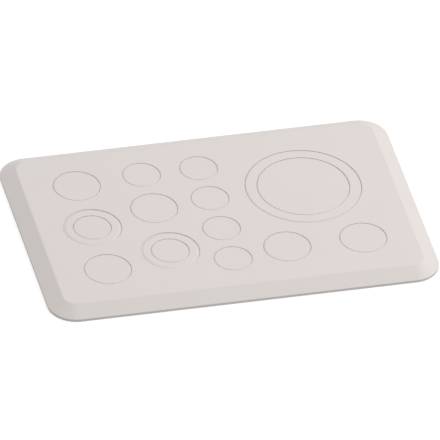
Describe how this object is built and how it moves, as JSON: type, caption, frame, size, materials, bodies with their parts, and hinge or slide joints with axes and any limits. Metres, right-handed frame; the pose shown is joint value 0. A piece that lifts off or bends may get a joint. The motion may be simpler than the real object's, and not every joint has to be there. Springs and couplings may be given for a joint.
{
  "type": "cable entry plate",
  "caption": "Flat moulded cover with a bevelled rim and round scored knock-outs, some stepped, that closes the cable opening of a box and takes cable glands.",
  "frame": {"origin": "middle of the flat seat under the rim, at the level that the plate rests on", "axes": "+X along the long side towards the large knock-out, +Y towards the back long side, +Z out of the face that the glands enter"},
  "size_m": [0.218, 0.144, 0.0061],
  "materials": {
    "grey_plastic": "light warm grey, moulded, matt with a fine even grain"
  },
  "bodies": {
    "root": {"entry_plate": "grey_plastic"}
  },
  "joints": []
}
